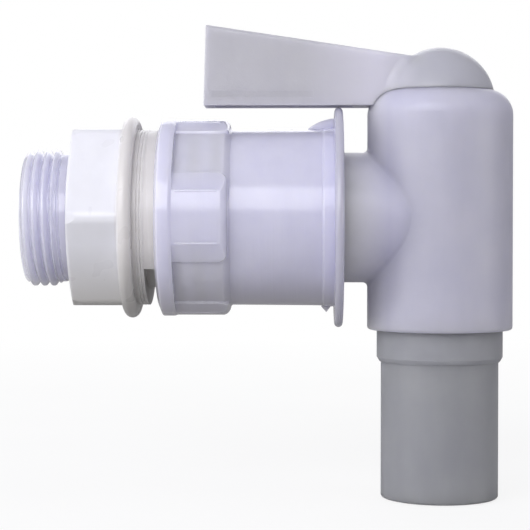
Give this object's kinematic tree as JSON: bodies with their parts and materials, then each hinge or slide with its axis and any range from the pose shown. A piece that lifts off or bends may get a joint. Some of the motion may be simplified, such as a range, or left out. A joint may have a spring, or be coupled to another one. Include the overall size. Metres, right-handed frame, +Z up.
{
  "type": "lever tap with coupling nut",
  "caption": "Plastic lever tap: a rotary plug with a down spout in an upright body, held by a lugged hand nut to a hex adapter with a male pipe thread.",
  "frame": {"origin": "centre of the hex adapter's flat left face, on the inlet axis, where the male thread starts", "axes": "+X along the inlet towards the tap, +Z up towards the lever, spout along -Z, lever arm over the inlet at rest (open)"},
  "size_m": [0.0937, 0.0424, 0.091],
  "materials": {
    "natural_plastic": "milky translucent polyethylene, satin, as moulded",
    "white_plastic": "opaque white polyolefin, satin, as moulded",
    "plug_plastic": "milky translucent polyethylene, greyer, satin",
    "lever_plastic": "milky translucent polyethylene, satin, as moulded",
    "seal_rubber": "natural pale silicone rubber, matte"
  },
  "bodies": {
    "adapter": {"hex_adapter": "white_plastic", "threaded_nipple": "natural_plastic"},
    "tap": {"tap_body": "natural_plastic", "inlet_seat_seal": "seal_rubber", "coupling_gasket": "seal_rubber"},
    "nut": {"coupling_nut": "natural_plastic"},
    "plug": {"rotary_plug": "plug_plastic", "upper_o_ring": "seal_rubber", "lower_o_ring": "seal_rubber", "lever_handle": "lever_plastic"}
  },
  "joints": [
    {"name": "tap_slide", "type": "slide", "parent": "adapter", "child": "tap", "axis": [1, 0, 0], "range_m": [0, 0.0111]},
    {"name": "nut_turn", "type": "hinge", "parent": "tap", "child": "nut", "pos_m": [0.034, 0, 0], "axis": [1, 0, 0], "range_deg": [0, 990]},
    {"name": "lever_turn", "type": "hinge", "parent": "tap", "child": "plug", "pos_m": [0.0704, 0, 0], "axis": [0, 0, 1], "range_deg": [-90, 90]}
  ],
  "couplings": [
    {"joint": "tap_slide", "follows": "nut_turn", "m_per_rad": 0.00063662}
  ]
}
